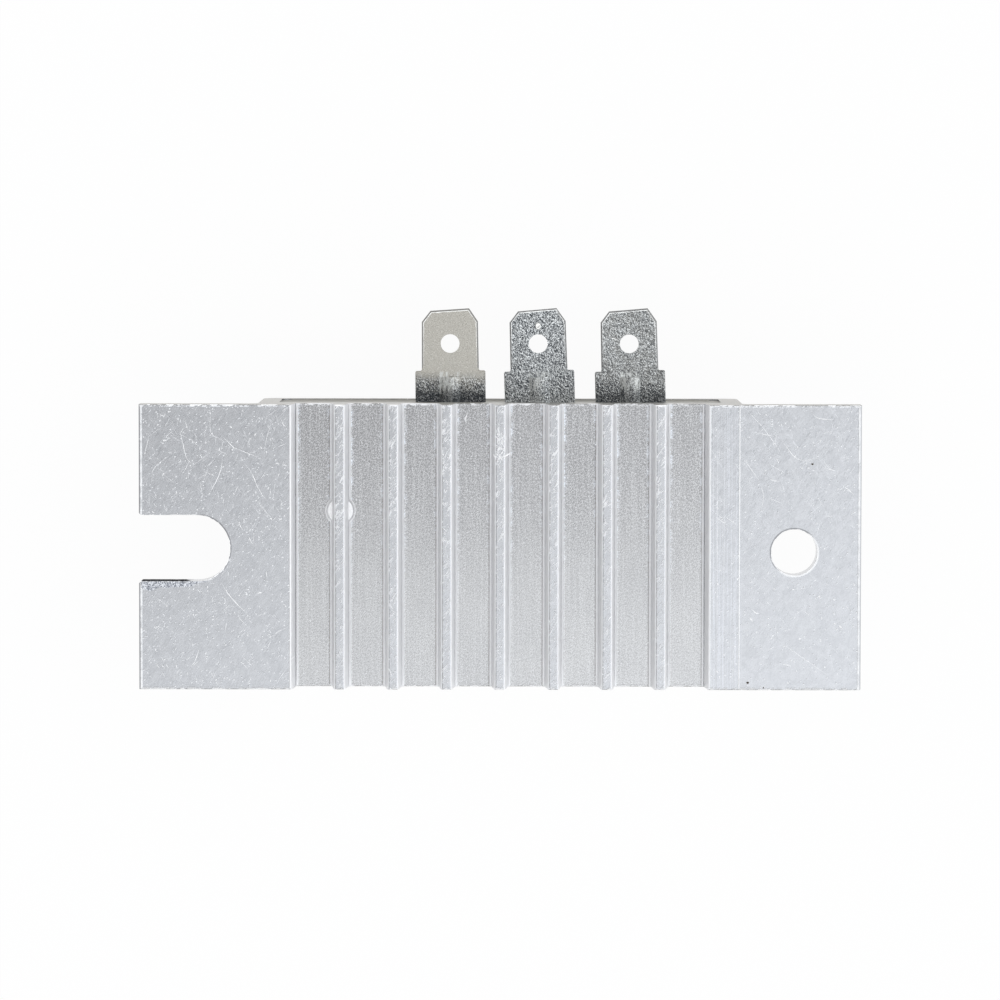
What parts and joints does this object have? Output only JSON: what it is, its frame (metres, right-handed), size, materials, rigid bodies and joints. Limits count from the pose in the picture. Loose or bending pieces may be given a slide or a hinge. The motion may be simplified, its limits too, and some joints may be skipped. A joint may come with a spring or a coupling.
{
  "type": "voltage regulator rectifier",
  "caption": "Finned aluminium heat sink housing with a mounting hole and an open slot, potted on one side round blade terminals, which turns alternator current into regulated charging current.",
  "frame": {"origin": "centre of the flat front wall's outer face, which the part lies on", "axes": "+X along the plate from the open slot to the round hole, +Y out of the mouth that the blades leave, +Z out of the fins"},
  "size_m": [0.081, 0.0426, 0.018],
  "materials": {
    "extruded_aluminium": "mill finish, fine grained, saw-cut ends",
    "rivet_aluminium": "plain, drawn",
    "potting_resin": "cast epoxy, beige grey, slightly glossy",
    "tinned_brass": "dull tin plate",
    "board_laminate": "glass-filled laminate",
    "solder": "bright solder",
    "thermal_pad": "soft silicone sheet",
    "strap_brass": "plain sheet",
    "capacitor_ceramic": "fired ceramic",
    "lead_metal": "tinned",
    "case_moulding": "moulded epoxy",
    "chip_ceramic": "coated ceramic"
  },
  "bodies": {
    "root": {"heat_sink_housing": "extruded_aluminium", "earth_rivet": "rivet_aluminium", "potting_resin": "potting_resin", "terminal_left": "tinned_brass", "terminal_middle": "tinned_brass", "terminal_right": "tinned_brass", "circuit_board": "board_laminate", "solder_joints": "solder", "thermal_pad": "thermal_pad", "earth_strap": "strap_brass", "chip_capacitor_body": "capacitor_ceramic", "chip_capacitor_caps": "lead_metal", "trigger_transistor_case": "case_moulding", "trigger_transistor_pins": "lead_metal", "zener_diode_case": "case_moulding", "zener_diode_pins": "lead_metal", "scr_left_leadframe": "lead_metal", "scr_left_case": "case_moulding", "dual_diode_leadframe": "lead_metal", "dual_diode_case": "case_moulding", "scr_right_leadframe": "lead_metal", "scr_right_case": "case_moulding", "chip_resistor_1_body": "chip_ceramic", "chip_resistor_1_caps": "lead_metal", "chip_resistor_2_body": "chip_ceramic", "chip_resistor_2_caps": "lead_metal", "chip_resistor_3_body": "chip_ceramic", "chip_resistor_3_caps": "lead_metal", "chip_resistor_4_body": "chip_ceramic", "chip_resistor_4_caps": "lead_metal"}
  },
  "joints": []
}
